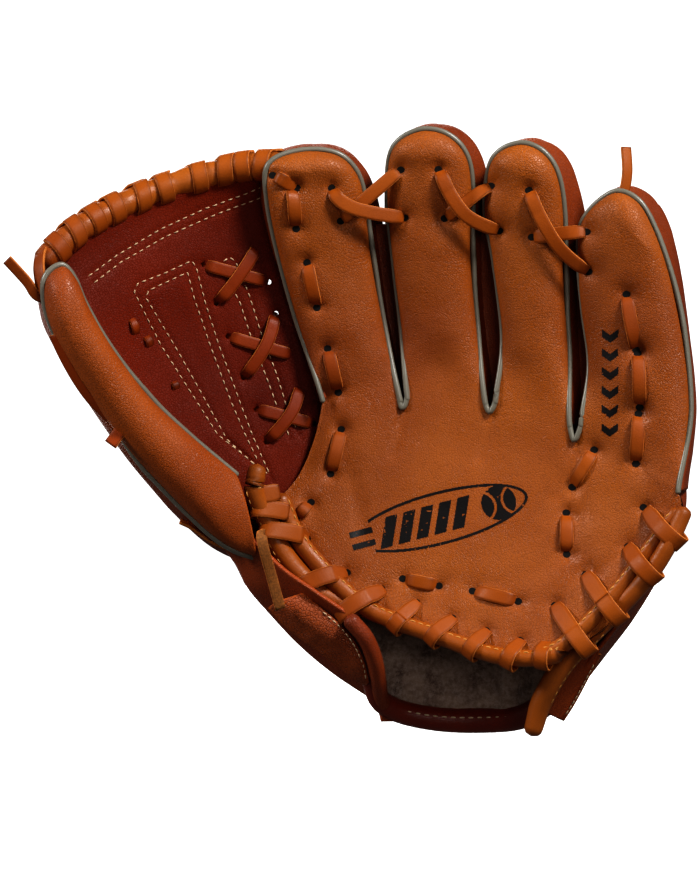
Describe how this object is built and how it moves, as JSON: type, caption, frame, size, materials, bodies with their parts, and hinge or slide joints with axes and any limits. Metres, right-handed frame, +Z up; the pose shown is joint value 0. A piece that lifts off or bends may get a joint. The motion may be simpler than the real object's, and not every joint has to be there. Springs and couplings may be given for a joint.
{
  "type": "baseball glove",
  "caption": "Open fielder's glove of laced tan leather: padded finger stalls round a deep pocket, a closed web between thumb and index, a fleece-lined wrist with a strap.",
  "frame": {"origin": "under the middle of the glove's box, at its lowest point, with the glove upright", "axes": "+X from the thumb to the little finger, +Z up along the fingers, +Y from the palm to the back"},
  "size_m": [0.3576, 0.1046, 0.3138],
  "materials": {
    "palm_leather": "pebbled tan leather, satin",
    "back_leather": "pebbled tan leather, satin",
    "web_leather": "dark tan leather, satin",
    "binding": "smooth tan leather roll",
    "lace": "waxed rawhide lace, tan with a paler cut edge",
    "piping": "smooth grey piping",
    "lining": "thin tan lining, matte",
    "fleece": "brown-grey fleece",
    "felt": "undyed wool felt",
    "patch": "black hook and loop tape",
    "label": "plain dark leather patch"
  },
  "bodies": {
    "palm": {"palm_leather": "palm_leather", "palm_felt_pad": "felt", "palm_lining": "lining", "back_leather": "back_leather", "wrist_fleece_lining": "fleece", "wrist_edge_binding": "binding", "index_finger_back": "back_leather", "middle_finger_back": "back_leather", "ring_finger_back": "back_leather", "index_finger_piping": "piping", "middle_finger_piping": "piping", "ring_finger_piping": "piping", "index_finger_lining": "lining", "middle_finger_lining": "lining", "ring_finger_lining": "lining", "heel_roll_centre": "binding", "heel_lace_centre": "lace", "index_middle_lace": "lace", "middle_ring_lace": "lace", "ring_little_lace": "lace", "index_side_lace": "lace", "palm_lace": "lace", "strap_anchor": "binding", "strap_loop_patch": "patch"},
    "thumb": {"thumb_front_leather": "palm_leather", "thumb_back_leather": "back_leather", "thumb_piping": "piping", "thumb_lining": "lining", "thumb_stiffener": "felt", "palm_leather_thumb_side": "palm_leather", "thumb_heel_pad": "felt", "heel_lace_end": "lace", "web_lace_end": "lace", "thumb_side_lace": "lace", "web_front_leather": "web_leather", "web_back_leather": "web_leather", "web_centre_strip": "web_leather", "web_top_roll": "binding", "web_top_lace": "lace", "web_cross_lace_1": "lace", "web_cross_lace_2": "lace", "web_cross_lace_3": "lace", "heel_roll_thumb": "binding", "thumb_edge_roll": "binding", "thumb_wrist_wall": "back_leather"},
    "little_finger": {"palm_leather_little_side": "palm_leather", "little_finger_back": "back_leather", "little_finger_piping": "piping", "little_finger_lining": "lining", "little_heel_pad": "felt", "little_finger_stiffener": "felt", "little_side_lace": "lace", "little_lace_end": "lace", "heel_roll_little": "binding", "heel_lace_little": "lace", "little_edge_roll": "binding", "little_wrist_wall": "back_leather"},
    "wrist_strap": {"strap_hook_patch": "patch", "wrist_strap": "binding", "strap_label": "label"}
  },
  "joints": [
    {"name": "thumb_close", "type": "hinge", "parent": "palm", "child": "thumb", "pos_m": [-0.04369, -0.01059, 0.29769], "axis": [-0.1929, 0, 0.9812], "range_deg": [0, 40]},
    {"name": "little_finger_close", "type": "hinge", "parent": "palm", "child": "little_finger", "pos_m": [0.11181, -0.04459, 0.19769], "axis": [0, 0, -1], "range_deg": [0, 30]},
    {"name": "strap_open", "type": "hinge", "parent": "palm", "child": "wrist_strap", "pos_m": [0.02881, 0.04491, 0.03769], "axis": [0, 0, 1], "range_deg": [0, 110]}
  ]
}
